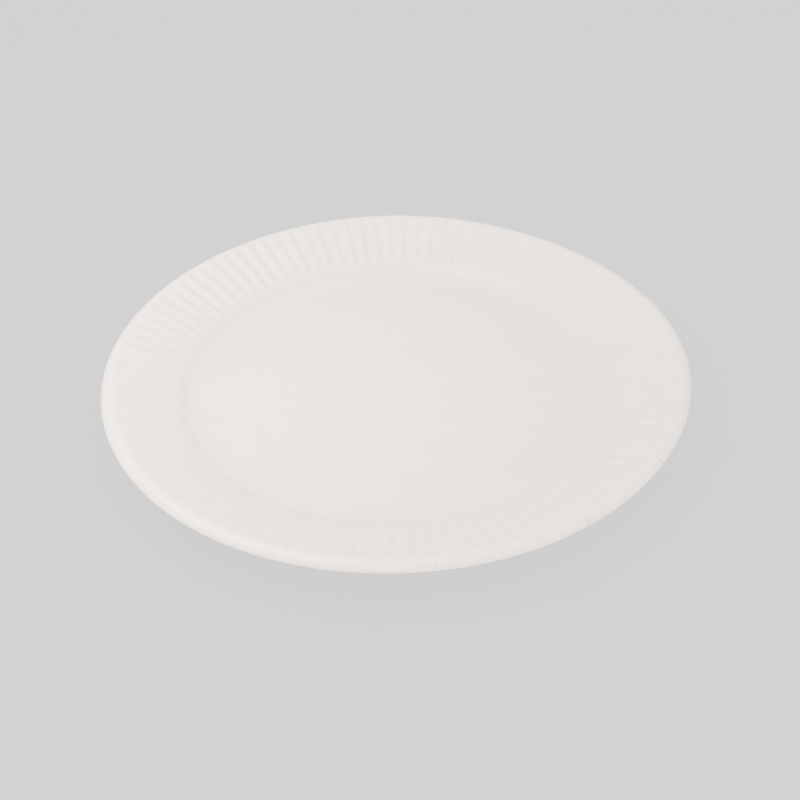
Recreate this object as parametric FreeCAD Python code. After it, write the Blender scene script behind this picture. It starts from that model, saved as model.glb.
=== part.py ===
"""Round paper plate, pressed from one sheet of board, with a fluted rim.

The board's middle surface is drawn as rings of points and curves about the Z axis, in
millimetres. One flute's worth of that surface is built, as a top face and an underside face
half a thickness away on each side, and repeated around the axis. The faces are then sewn
into one closed solid. Z = 0 is the underside of the flat floor, and +Z points up.
"""
import math
import os

import FreeCAD, Part

# Driving sizes, in millimetres and degrees
plate_diameter = 230.0      # across the outside of the turned-down lip
plate_height = 15.0         # underside of the floor to the top of the crest
board_thickness = 0.45      # one ply of pressed paper board
floor_diameter = 140.0      # flat floor that the food lies on
crease_diameter = 171.0     # sharp ring at the top of the smooth wall, where the flutes begin
crease_height = 4.1         # middle surface at the crease, above the underside of the floor
crease_angle = 38.0         # steepness of the wall where it meets the crease
crest_diameter = 222.0      # highest ring of the rim
shoulder_run = 2.6          # outer ends of the flutes, inside the crest
shoulder_drop = 0.85        # and below it
dart_run = 2.0              # inner ends of the flutes, outside the crease
lip_drop = 1.7              # how far the outer edge is turned down below the crest
lip_angle = 50.0            # steepness of the lip at its outer edge

# Flutes: even pleats with flat flanks and rounded tops, all pointing at one apex on the axis
flute_count = 100
flute_depth_ratio = 0.0060  # ridge to valley depth over the radius
top_share = 0.5             # share of the pitch taken by the rounded tops and bottoms
top_depth_share = 0.24      # share of the depth that lies in the rounding

half_board = board_thickness / 2
pitch = 2 * math.pi / flute_count
floor_radius = floor_diameter / 2
crease_radius = crease_diameter / 2
crest_radius = crest_diameter / 2
crest_height = plate_height - half_board
shoulder_radius = crest_radius - shoulder_run
shoulder_height = crest_height - shoulder_drop
dart_radius = crease_radius + dart_run

# Mean cone of the fluted rim, through the crease and the shoulder
cone_rise = (shoulder_height - crease_height) / (shoulder_radius - crease_radius)
cone_apex_height = crease_height - crease_radius * cone_rise
cone_half_board = half_board * math.hypot(1.0, cone_rise)


def polar(radius, angle, height):
    """Point at a radius and height, turned by an angle in radians about the axis."""
    return FreeCAD.Vector(radius * math.cos(angle), radius * math.sin(angle), height)


def flat_face(*corners):
    """Flat face on the given corners."""
    return Part.Face(Part.makePolygon(list(corners) + [corners[0]]))


def slope_vector(degrees):
    """Unit vector in the (radius, height) plane that climbs outwards at an angle."""
    return math.cos(math.radians(degrees)), math.sin(math.radians(degrees))


def smooth_profile(start, start_angle, end, end_angle, side):
    """Poles of a cubic from start to end, moved off the middle surface to one side.

    side is +1 for the top face and -1 for the underside. Each end has its own slope, and its
    two poles move together along that end's normal, so that the slopes are kept.
    """
    handle = math.dist(start, end) / 3
    poles = []
    for (radius, height), degrees, steps in ((start, start_angle, (0, 1)), (end, end_angle, (-1, 0))):
        run, rise = slope_vector(degrees)
        for step in steps:
            poles.append((
                radius + step * handle * run - side * half_board * rise,
                height + step * handle * rise + side * half_board * run,
            ))
    return poles


def smooth_band(poles):
    """One pitch of a band with a cubic profile. It is centred on a flute's ridge."""
    surface = Part.BSplineSurface()
    net = [[polar(radius, angle, height) for angle in (-pitch / 2, pitch / 2)] for radius, height in poles]
    surface.buildFromPolesMultsKnots(net, [4, 4], [2, 2], [0.0, 1.0], [0.0, 1.0], False, False, 3, 1)
    return surface.toShape()


def flute_ring(radius, side):
    """Seven points across one flute, from valley to valley over the ridge.

    Every point lies on a straight line through the cone's apex, so that each flank and each
    facet of a rounded top is flat between two such rings.
    """
    half_depth = flute_depth_ratio / 2
    shoulder = half_depth * (1 - 2 * top_depth_share)
    top = pitch * top_share / 4
    half = pitch / 2
    stations = (
        (-half, -half_depth),
        (-half + top, -shoulder),
        (-top, shoulder),
        (0.0, half_depth),
        (top, shoulder),
        (half - top, -shoulder),
        (half, -half_depth),
    )
    apex = cone_apex_height + side * cone_half_board
    return [polar(radius, angle, apex + radius * (cone_rise + wave)) for angle, wave in stations]


def flute_sides(side):
    """Facets of one flute between its inner and its outer ends."""
    inner = flute_ring(dart_radius, side)
    outer = flute_ring(shoulder_radius, side)
    return [
        flat_face(inner[i], inner[i + 1], outer[i + 1], outer[i])
        for i in range(len(inner) - 1)
    ]


def flute_end(ring, left, right):
    """Small triangles that close a flute, from its ring of points to one straight edge.

    left and right are the ends of that edge, level with the valleys on either side.
    """
    ridge = len(ring) // 2
    faces = [flat_face(left, ring[i], ring[i + 1]) for i in range(ridge)]
    faces += [flat_face(right, ring[i], ring[i + 1]) for i in range(ridge, len(ring) - 1)]
    faces.append(flat_face(left, ring[ridge], right))
    return faces


def sheet_sector(side):
    """One pitch of the top face or of the underside, without the floor, and its edge points."""
    wall = smooth_profile((floor_radius, half_board), 0.0, (crease_radius, crease_height), crease_angle, side)
    lip_radius = plate_diameter / 2 - half_board * math.sin(math.radians(lip_angle))
    lip = smooth_profile((crest_radius, crest_height), 0.0, (lip_radius, crest_height - lip_drop), -lip_angle, side)
    crease = [polar(wall[-1][0], angle, wall[-1][1]) for angle in (-pitch / 2, pitch / 2)]
    crest = [polar(lip[0][0], angle, lip[0][1]) for angle in (-pitch / 2, pitch / 2)]
    faces = [smooth_band(wall)]
    faces += flute_end(flute_ring(dart_radius, side), *crease)
    faces += flute_sides(side)
    faces += flute_end(flute_ring(shoulder_radius, side), *crest)
    faces.append(smooth_band(lip))
    return faces, lip[-1]


def floor_face(height):
    """Flat floor, with one straight edge for each flute."""
    corners = [polar(floor_radius, (i - 0.5) * pitch, height) for i in range(flute_count)]
    return flat_face(*corners)


def plate():
    """The whole plate as one solid."""
    top, top_edge = sheet_sector(1)
    under, under_edge = sheet_sector(-1)
    edge = [
        polar(radius, angle, height)
        for (radius, height), angle in (
            (top_edge, -pitch / 2), (top_edge, pitch / 2), (under_edge, pitch / 2), (under_edge, -pitch / 2),
        )
    ]
    sector = Part.makeCompound(top + under + [flat_face(*edge)])
    origin = FreeCAD.Vector(0, 0, 0)
    axis = FreeCAD.Vector(0, 0, 1)
    faces = [floor_face(board_thickness), floor_face(0.0)]
    for i in range(flute_count):
        turned = sector.copy()
        turned.rotate(origin, axis, math.degrees(i * pitch))
        faces += turned.Faces
    shell = Part.makeShell(faces)
    shell.sewShape()
    solid = Part.makeSolid(shell)
    if solid.Volume < 0:
        solid.reverse()
    return solid


os.makedirs("parts", exist_ok=True)
plate().exportStep("parts/paper_plate.step")
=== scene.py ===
import math

import bpy
import numpy as np
from mathutils import Matrix, Vector


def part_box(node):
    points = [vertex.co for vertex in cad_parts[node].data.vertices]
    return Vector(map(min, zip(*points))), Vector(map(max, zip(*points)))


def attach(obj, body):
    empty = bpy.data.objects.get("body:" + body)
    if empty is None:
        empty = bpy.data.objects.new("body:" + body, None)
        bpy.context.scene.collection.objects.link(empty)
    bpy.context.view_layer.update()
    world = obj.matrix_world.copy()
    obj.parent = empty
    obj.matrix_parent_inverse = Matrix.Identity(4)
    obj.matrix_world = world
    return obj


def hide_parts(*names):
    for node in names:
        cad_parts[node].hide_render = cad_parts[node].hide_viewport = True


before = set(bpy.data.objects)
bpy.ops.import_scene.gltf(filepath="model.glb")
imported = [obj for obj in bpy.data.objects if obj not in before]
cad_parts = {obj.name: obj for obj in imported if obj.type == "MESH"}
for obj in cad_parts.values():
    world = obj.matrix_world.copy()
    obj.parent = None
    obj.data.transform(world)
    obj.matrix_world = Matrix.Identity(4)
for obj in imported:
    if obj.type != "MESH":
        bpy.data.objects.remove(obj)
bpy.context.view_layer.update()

# Lengths are in millimetres and angles in degrees, unless a comment says otherwise
MM = 0.001                  # metres in a millimetre
solid_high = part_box("paper_plate")[1]
plate_height = solid_high[2] / MM
board_thickness = 0.45

# Middle surface of the board, from the centre of the floor out to the edge
floor_radius = 72.7
floor_raise = 0.20          # the floor lies this much above its own edge
roll_radius = 62.7          # radius where the floor starts to roll down to its edge
roll_end = 69.7             # and where it is down
wall_radius = 83.2          # radius where the wall has risen and goes straight on to the bend
wall_height = 2.61          # its height there
wall_angle = 35.5           # and its slope
bend_start_run = 1.7        # from there out to the bend at the crease
crease_radius = 85.9
crease_height = 4.5
bend_end_run = 1.0          # length of the bend on the cone
edge_radius = 113.75        # mean of the edge, which wanders inside the solid's box
crest_inset = 4.0           # from the edge in to the crest, the highest ring of the rim
crest_play = 0.06           # the crest stays this far below the top of the solid
shoulder_run = 2.6          # from the crest in to the shoulder, where the cone ends
shoulder_drop = 0.85        # from the crest down to the shoulder
lip_drop = 1.7              # from the crest down to the edge
lip_angle = 50.0            # slope of the lip at the edge

# Mesh rows along each part of that surface, and round the edge from the top face to the underside
roll_rows = 6
wall_rows = 8
bend_rows = 4
cone_rows = 9
shoulder_rows = 5
lip_rows = 7
edge_turns = (45, 90, 135)

# The rim isn't quite round: number of waves around it, their size and the angle of a first crest
edge_waves = (
    (1, 0.64, 221),
    (2, 0.90, 303),
    (3, 0.50, 355),
    (4, 0.27, 5),
    (5, 0.19, 13),
)

# Small radial wrinkles in the lip: angle, depth and width along the edge
lip_wrinkles = (
    (249.5, 0.15, 0.8),
    (276.0, 0.30, 0.8),
    (293.3, 0.20, 1.0),
    (302.8, 0.50, 0.5),
    (323.8, 0.60, 0.55),
    (346.5, 0.50, 0.6),
)
wrinkle_start = 108.0       # radius where the wrinkles begin
wrinkle_full = 111.5        # and where they have their whole depth
wrinkle_pull = 0.5          # share of its depth by which a wrinkle also draws the lip inwards
crowd_width = 1.2           # the mesh is finer this far along the edge from a wrinkle
crowd_share = 4.0           # and has this many times more columns there
column_samples = 40         # steps per column in the sum that places the columns

# Flutes of the rim
flute_count = 100
flute_depth = 0.50          # from the bottom of a flute to the top of a ridge
flute_start_run = 2.6       # length beside the crease over which a flute grows
flute_end_run = 2.0         # a flute starts to die this far inside the crest
flute_end_play = 0.3        # and is gone this far outside it
cone_tilt = 24.0            # slope of the rim, and so the lean of the flutes' normal
flute_turn = -94.0          # phase that places the ridges as in the photograph
flute_squareness = 0.7      # 0 would be a plain cosine, and more has steeper flanks
columns_per_flute = 12
flute_seed = 5
deeper_side = 145.0         # azimuth of the side where the flutes are deepest
side_spread = 0.36          # share by which they are deeper there, and shallower opposite
depth_spread = 0.14         # share by which a single flute may be deeper or shallower
phase_spread = 4.0          # phase by which it may stand to one side

# White board. Colours are linear, each face's from its darkest to its palest place.
face_colors = ((0.847, 0.808, 0.782), (0.855, 0.816, 0.790))
underside_colors = ((0.800, 0.760, 0.725), (0.845, 0.805, 0.770))
core_color = (0.85, 0.81, 0.775)
color_stops = (0.3, 0.7)    # values of the noise that give those two colours
clouds = (90, 4)            # noise of the pulp: cells per metre and detail
fibres = (1400, 5)
flecks = (420, 3)
board_gloss = 0.5
face_roughness = 0.34
underside_roughness = 0.85
face_relief = 0.15          # strength of the bump from fibres and flecks
underside_relief = 0.45
relief_height = 0.00004     # and its height in metres

# Camera, as found from the outline and the spacing of the flutes
focal_length = 49.7
sensor_width = 36.0
nearest_view = 0.01         # metres
view_distance = 433.8
view_elevation = 38.14
view_roll = 1.93
aim_right = 1.6             # the aim point's place beside the middle of the edge's circle
aim_down = 16.7

# Floor under the plate
floor_grey = 0.6445         # linear value of the even grey that the camera sees
even_share = 0.92           # share of that grey in the picture, where the rest is lit and shadowed
lit_grey = 0.72
lit_roughness = 0.9
lit_gloss = 0.1
ground_size = 3.0           # metres from the plate to the floor's sides
ground_gap = 0.00005        # metres between the plate and the floor, so that no faces coincide

# Soft lamps, all aimed at the plate: name, azimuth and elevation, distance and side in metres,
# and watts
lamps = (
    ("near", 185, 60, 0.35, 0.25, 0.195),
    ("low", 320, 14, 0.9, 0.5, 0.405),
)
horizon_strength = 0.975    # light from all round, at the horizon
zenith_strength = 0.777     # and straight overhead


def cubic(start, start_angle, end, end_angle, count):
    """Cubic curve in the (radius, height) plane with a given slope in degrees at each end.

    The point is the sum of four poles, each times its Bernstein weight in t from 0 to 1. The
    inner poles lie a third of the chord along the end slopes.
    """
    start, end = np.array(start), np.array(end)
    handle = np.linalg.norm(end - start) / 3
    leave = np.array([math.cos(math.radians(start_angle)), math.sin(math.radians(start_angle))])
    arrive = np.array([math.cos(math.radians(end_angle)), math.sin(math.radians(end_angle))])
    poles = np.array([start, start + handle * leave, end - handle * arrive, end])
    t = np.linspace(0, 1, count)[:, None]
    weights = np.hstack([(1 - t) ** 3, 3 * t * (1 - t) ** 2, 3 * t ** 2 * (1 - t), t ** 3])
    return weights @ poles


def smooth_step(value, low, high):
    """0 below low, 1 above high, and 3t^2 - 2t^3 between, with t the share of the way."""
    t = np.clip((value - low) / (high - low), 0, 1)
    return t * t * (3 - 2 * t)


def plate_profile():
    """Middle surface of the board, from the floor's centre to the edge, as (radius, height).

    It is the flat floor, whose edge rolls down a little, a cubic wall that ends straight, a
    short bend at the crease, the straight cone of the rim, a cubic over the shoulder to the
    crest and a cubic down the lip. The cone's rows lie closer at its ends, where the flutes
    grow and die.
    """
    half = board_thickness / 2
    crest = (edge_radius - crest_inset, plate_height - crest_play - half)
    shoulder = np.array([crest[0] - shoulder_run, crest[1] - shoulder_drop])
    crease = np.array([crease_radius, crease_height])
    cone = shoulder - crease
    cone_angle = math.degrees(math.atan2(*cone[::-1]))
    bend_end = crease + bend_end_run * cone / np.linalg.norm(cone)
    bend_start_rise = bend_start_run * math.tan(math.radians(wall_angle))
    bend_start = (wall_radius + bend_start_run, wall_height + bend_start_rise)
    edge = (edge_radius - half, crest[1] - lip_drop)
    roll = np.linspace(roll_radius, roll_end, roll_rows)
    floor = np.concatenate([[0, roll_radius / 2], roll, [floor_radius]])
    raised = 1 - smooth_step(floor, roll_radius, roll_end)
    along_cone = smooth_step(np.linspace(0, 1, cone_rows), 0, 1)[1:, None]
    return np.vstack([
        np.column_stack([floor, half + floor_raise * raised]),
        cubic((floor_radius, half), 0, (wall_radius, wall_height), wall_angle, wall_rows)[1:],
        cubic(bend_start, wall_angle, bend_end, cone_angle, bend_rows),
        bend_end + along_cone * (shoulder - bend_end),
        cubic(shoulder, cone_angle, crest, 0, shoulder_rows)[1:],
        cubic(crest, 0, edge, -lip_angle, lip_rows)[1:],
    ])


def flute_wave(angle):
    """Rounded wave around the rim that swings about 1 either way, one period for each flute.

    It is tanh(squareness * cos(phase)) / tanh(squareness), a cosine pushed a little towards a
    square. Each flute has its own share of depth and of phase, drawn once from the seed, and
    both run straight from one flute to the next. The depth also changes by a cosine of the
    angle, so that the flutes are deeper on one side of the plate.
    """
    draw = np.random.default_rng(flute_seed)
    depth = 1 + depth_spread * draw.uniform(-1, 1, flute_count)
    shift = np.radians(phase_spread) * draw.uniform(-1, 1, flute_count)
    flute = angle * flute_count / (2 * math.pi)
    places = np.arange(flute_count)
    depth = np.interp(flute, places, depth, period=flute_count)
    depth = depth * (1 + side_spread * np.cos(angle - math.radians(deeper_side)))
    shift = np.interp(flute, places, shift, period=flute_count)
    phase = flute_count * angle + math.radians(flute_turn) + shift
    return depth * np.tanh(flute_squareness * np.cos(phase)) / math.tanh(flute_squareness)


def edge_wander(angle):
    """Distance by which the rim stands out from its circle, as a sum of cosines of the angle."""
    return sum(
        size * np.cos(waves * (angle - math.radians(first)))
        for waves, size, first in edge_waves)


def bell_at_wrinkle(angle, place, width):
    """exp(-(distance / width)^2), with the distance along the edge from a wrinkle's place."""
    distance = np.angle(np.exp(1j * (angle - math.radians(place)))) * edge_radius
    return np.exp(-(distance / width) ** 2)


def wrinkle_depth(radius, angle):
    """Depth of the lip's wrinkles: narrow bells along the edge that deepen towards it."""
    depth = sum(
        size * bell_at_wrinkle(angle, place, width)
        for place, size, width in lip_wrinkles)
    return depth * smooth_step(radius, wrinkle_start, wrinkle_full)


def column_angles(count):
    """Angles of the mesh's columns, even but for a crowd at each wrinkle.

    They stand where the running total of the wanted density reaches even shares of its whole.
    """
    angle = np.linspace(0, 2 * math.pi, column_samples * count + 1)
    density = 1 + crowd_share * sum(
        bell_at_wrinkle(angle, place, crowd_width)
        for place, _, _ in lip_wrinkles)
    total = np.append(0, np.cumsum((density[1:] + density[:-1]) / 2))
    return np.interp(np.arange(count) / count, total / total[-1], angle)


def middle_surface(angle):
    """Points of the board's middle surface on a grid of profile rows by angles.

    The flute wave grows from nothing at the crease, dies at the crest and moves the board
    along the cone's normal. The rim's wander moves the board outwards, by nothing at the
    crease and by all of it at the shoulder. The wrinkles move the lip down and inwards.
    """
    profile = plate_profile()
    radius = np.repeat(profile[:, :1], len(angle), axis=1)
    height = np.repeat(profile[:, 1:], len(angle), axis=1)
    crest_radius = edge_radius - crest_inset
    shoulder_radius = crest_radius - shoulder_run
    grow = smooth_step(radius, crease_radius, crease_radius + flute_start_run)
    fade = 1 - smooth_step(radius, crest_radius - flute_end_run, crest_radius + flute_end_play)
    wave = flute_depth / 2 * grow * fade * flute_wave(angle)
    dent = wrinkle_depth(radius, angle)
    share = np.clip((radius - crease_radius) / (shoulder_radius - crease_radius), 0, 1)
    height = height + wave * math.cos(math.radians(cone_tilt)) - dent
    radius = radius - wave * math.sin(math.radians(cone_tilt)) - wrinkle_pull * dent
    radius = radius + share * edge_wander(angle)
    return np.stack([radius * np.cos(angle), radius * np.sin(angle), height], axis=2)


def surface_normals(points):
    """Unit normals of a grid of points: the cross product of its two directions of travel.

    The first row is all at the centre, so it borrows the second row's travel around.
    """
    along = np.gradient(points, axis=0)
    around = np.roll(points, -1, axis=1) - np.roll(points, 1, axis=1)
    around[0] = around[1]
    normals = np.cross(along, around)
    return normals / np.linalg.norm(normals, axis=2, keepdims=True)


def board_mesh(name, angle):
    """Closed shell of even thickness about the middle surface.

    Top and underside are the middle surface plus and minus half the thickness along its
    normal. A half circle joins them round the edge, and one point closes each centre. Two
    marks on the points tell the top face and the cut edge from the rest.
    """
    half = board_thickness / 2
    columns = len(angle)
    middle = middle_surface(angle)
    normals = surface_normals(middle)
    outward = middle[-1] - middle[-2]
    outward /= np.linalg.norm(outward, axis=1, keepdims=True)
    turns = np.radians(edge_turns)[:, None, None]
    rim = middle[-1] + half * (np.cos(turns) * normals[-1] + np.sin(turns) * outward)
    top = middle[1:] + half * normals[1:]
    under = middle[1:] - half * normals[1:]
    rows = np.concatenate([top, rim, under[::-1]])
    row_count = len(rows)
    centre = np.array([[0, 0, middle[0, 0, 2] + half], [0, 0, middle[0, 0, 2] - half]])
    vertices = np.vstack([rows.reshape(-1, 3), centre]) * MM

    index = np.arange(row_count * columns).reshape(row_count, columns)
    after = np.roll(index, -1, axis=1)
    quads = np.stack([index[:-1], index[1:], after[1:], after[:-1]], axis=2).reshape(-1, 4)
    top_centre = np.full(columns, row_count * columns)
    fans = np.vstack([
        np.stack([top_centre, index[0], after[0]], axis=1),
        np.stack([top_centre + 1, after[-1], index[-1]], axis=1),
    ])
    mesh = bpy.data.meshes.new(name)
    mesh.from_pydata(vertices.tolist(), [], quads.tolist() + fans.tolist())
    mesh.polygons.foreach_set("use_smooth", np.ones(len(mesh.polygons), dtype=bool))
    row = np.repeat(np.arange(row_count), columns)
    on_edge = (row >= len(top)) & (row < len(top) + len(rim))
    marks = {
        "top_face": np.append(row < len(top), [True, False]),
        "cut_edge": np.append(on_edge, [False, False]),
    }
    for label, inside in marks.items():
        attribute = mesh.attributes.new(label, "FLOAT", "POINT")
        attribute.data.foreach_set("value", inside.astype(np.float32))
    mesh.update()
    piece = bpy.data.objects.new(name, mesh)
    bpy.context.scene.collection.objects.link(piece)
    return piece


def noise(nodes, links, place, pattern):
    """Noise over a place, from a pattern's cells per metre and detail."""
    scale, detail = pattern
    node = nodes.new("ShaderNodeTexNoise")
    node.inputs["Scale"].default_value = scale
    node.inputs["Detail"].default_value = detail
    links.new(place, node.inputs["Vector"])
    return node.outputs["Fac"]


def tint(nodes, links, factor, colors):
    """Colour that goes from the first to the second while the factor passes the two stops."""
    node = nodes.new("ShaderNodeValToRGB")
    for stop, place, color in zip(node.color_ramp.elements, color_stops, colors):
        stop.position = place
        stop.color = (*color, 1)
    links.new(factor, node.inputs["Fac"])
    return node.outputs["Color"]


def mark(nodes, name):
    """Value of one of the mesh's own point attributes."""
    node = nodes.new("ShaderNodeAttribute")
    node.attribute_name = name
    return node.outputs["Fac"]


def blend(nodes, links, factor, first, second):
    """Colour that goes from the first to the second while the factor goes from 0 to 1."""
    node = nodes.new("ShaderNodeMix")
    node.data_type = "RGBA"
    sockets = {socket.identifier: socket for socket in node.inputs}
    links.new(factor, sockets["Factor_Float"])
    links.new(first, sockets["A_Color"])
    links.new(second, sockets["B_Color"])
    return next(socket for socket in node.outputs if socket.identifier == "Result_Color")


def scale_by(nodes, links, factor, low, high):
    """Number that goes from low to high while the factor goes from 0 to 1."""
    node = nodes.new("ShaderNodeMapRange")
    node.inputs["To Min"].default_value = low
    node.inputs["To Max"].default_value = high
    links.new(factor, node.inputs["Value"])
    return node.outputs["Result"]


def combine(nodes, links, operation, first, second):
    """Two numbers put together by a Math node."""
    node = nodes.new("ShaderNodeMath")
    node.operation = operation
    links.new(first, node.inputs[0])
    links.new(second, node.inputs[1])
    return node.outputs[0]


def paper_material():
    """White pressed board: a smooth satin face, a plainer underside and a raw cut edge.

    The clouding of the pulp tints the face faintly, flecks tint the underside, and fibres and
    flecks roughen both, the underside more. The cut edge shows the sheet's yellower core.
    """
    material = bpy.data.materials.new("white_board")
    material.use_nodes = True
    nodes = material.node_tree.nodes
    links = material.node_tree.links
    place = nodes.new("ShaderNodeTexCoord").outputs["Object"]
    fibre_noise = noise(nodes, links, place, fibres)
    fleck_noise = noise(nodes, links, place, flecks)
    face = tint(nodes, links, noise(nodes, links, place, clouds), face_colors)
    underside = tint(nodes, links, fleck_noise, underside_colors)
    core = nodes.new("ShaderNodeRGB").outputs[0]
    core.default_value = (*core_color, 1)
    top = mark(nodes, "top_face")
    sides = blend(nodes, links, top, underside, face)
    bump = nodes.new("ShaderNodeBump")
    bump.inputs["Distance"].default_value = relief_height
    relief = scale_by(nodes, links, top, underside_relief, face_relief)
    links.new(relief, bump.inputs["Strength"])
    links.new(combine(nodes, links, "ADD", fibre_noise, fleck_noise), bump.inputs["Height"])
    shader = nodes["Principled BSDF"]
    shader.inputs["Specular IOR Level"].default_value = board_gloss
    whole = blend(nodes, links, mark(nodes, "cut_edge"), sides, core)
    links.new(whole, shader.inputs["Base Color"])
    roughness = scale_by(nodes, links, top, underside_roughness, face_roughness)
    links.new(roughness, shader.inputs["Roughness"])
    links.new(bump.outputs["Normal"], shader.inputs["Normal"])
    return material


def seen_rays(nodes, links):
    """1 for rays that come from the camera, a mirror or glass, and 0 for those that light."""
    path = nodes.new("ShaderNodeLightPath").outputs
    seen = combine(nodes, links, "MAXIMUM", path["Is Camera Ray"], path["Is Glossy Ray"])
    return combine(nodes, links, "MAXIMUM", seen, path["Is Transmission Ray"])


def ground():
    """Plain pale floor that shows its even grey to the camera and keeps a soft shadow."""
    mesh = bpy.data.meshes.new("ground")
    sides = ((-1, -1), (1, -1), (1, 1), (-1, 1))
    corners = [(x * ground_size, y * ground_size, -ground_gap) for x, y in sides]
    mesh.from_pydata(corners, [], [(0, 1, 2, 3)])
    floor = bpy.data.objects.new("ground", mesh)
    bpy.context.scene.collection.objects.link(floor)
    material = bpy.data.materials.new("pale_floor")
    material.use_nodes = True
    nodes = material.node_tree.nodes
    links = material.node_tree.links
    lit = nodes["Principled BSDF"]
    lit.inputs["Base Color"].default_value = (lit_grey, lit_grey, lit_grey, 1)
    lit.inputs["Roughness"].default_value = lit_roughness
    lit.inputs["Specular IOR Level"].default_value = lit_gloss
    even = nodes.new("ShaderNodeEmission")
    even.inputs["Color"].default_value = (floor_grey, floor_grey, floor_grey, 1)
    mix = nodes.new("ShaderNodeMixShader")
    share = scale_by(nodes, links, seen_rays(nodes, links), 0, even_share)
    links.new(share, mix.inputs["Fac"])
    links.new(lit.outputs[0], mix.inputs[1])
    links.new(even.outputs[0], mix.inputs[2])
    links.new(mix.outputs[0], nodes["Material Output"].inputs["Surface"])
    mesh.materials.append(material)


def soft_light():
    """Light from all round that changes evenly with height, and the soft square lamps.

    To the camera the world is as grey as the floor, so that no horizon shows.
    """
    world = bpy.data.worlds.new("studio")
    world.use_nodes = True
    nodes = world.node_tree.nodes
    links = world.node_tree.links
    direction = nodes.new("ShaderNodeSeparateXYZ")
    links.new(nodes.new("ShaderNodeTexCoord").outputs["Generated"], direction.inputs["Vector"])
    light = scale_by(nodes, links, direction.outputs["Z"], horizon_strength, zenith_strength)
    strength = nodes.new("ShaderNodeMapRange")
    strength.inputs["To Max"].default_value = floor_grey
    links.new(light, strength.inputs["To Min"])
    links.new(seen_rays(nodes, links), strength.inputs["Value"])
    background = nodes["Background"]
    background.inputs["Color"].default_value = (1, 1, 1, 1)
    links.new(strength.outputs["Result"], background.inputs["Strength"])
    bpy.context.scene.world = world
    for name, azimuth, elevation, distance, side, watts in lamps:
        level = math.cos(math.radians(elevation))
        place = distance * Vector((
            level * math.cos(math.radians(azimuth)),
            level * math.sin(math.radians(azimuth)),
            math.sin(math.radians(elevation)),
        ))
        lamp = bpy.data.lights.new(name, "AREA")
        lamp.shape = "SQUARE"
        lamp.size = side
        lamp.energy = watts
        holder = bpy.data.objects.new(name, lamp)
        holder.location = place
        holder.rotation_euler = place.to_track_quat("Z", "Y").to_euler()
        bpy.context.scene.collection.objects.link(holder)


def camera():
    """Camera on the photograph's line of sight.

    The view runs away from the viewer along +Y and down by the elevation. The aim point lies
    beside the middle of the edge's circle, and the camera sits back from it by the distance.
    """
    tilt = math.radians(view_elevation)
    roll = math.radians(view_roll)
    forward = Vector((0, math.cos(tilt), -math.sin(tilt)))
    right = Vector((1, 0, 0))
    up = Vector((0, math.sin(tilt), math.cos(tilt)))
    edge_height = plate_height - board_thickness / 2 - lip_drop
    aim = Vector((0, 0, edge_height)) + aim_right * right - aim_down * up
    place = (aim - view_distance * forward) * MM
    view_right = math.cos(roll) * right - math.sin(roll) * up
    view_up = math.sin(roll) * right + math.cos(roll) * up
    turn = Matrix((view_right, view_up, -forward)).transposed().to_4x4()
    lens = bpy.data.cameras.new("camera")
    lens.lens = focal_length
    lens.sensor_width = sensor_width
    lens.clip_start = nearest_view
    eye = bpy.data.objects.new("camera", lens)
    eye.matrix_world = Matrix.Translation(place) @ turn
    bpy.context.scene.collection.objects.link(eye)
    bpy.context.scene.camera = eye


bpy.context.scene.view_settings.view_transform = "Standard"
plate = board_mesh("plate", column_angles(flute_count * columns_per_flute))
plate.data.materials.append(paper_material())
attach(plate, "root")
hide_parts("paper_plate")
ground()
soft_light()
camera()
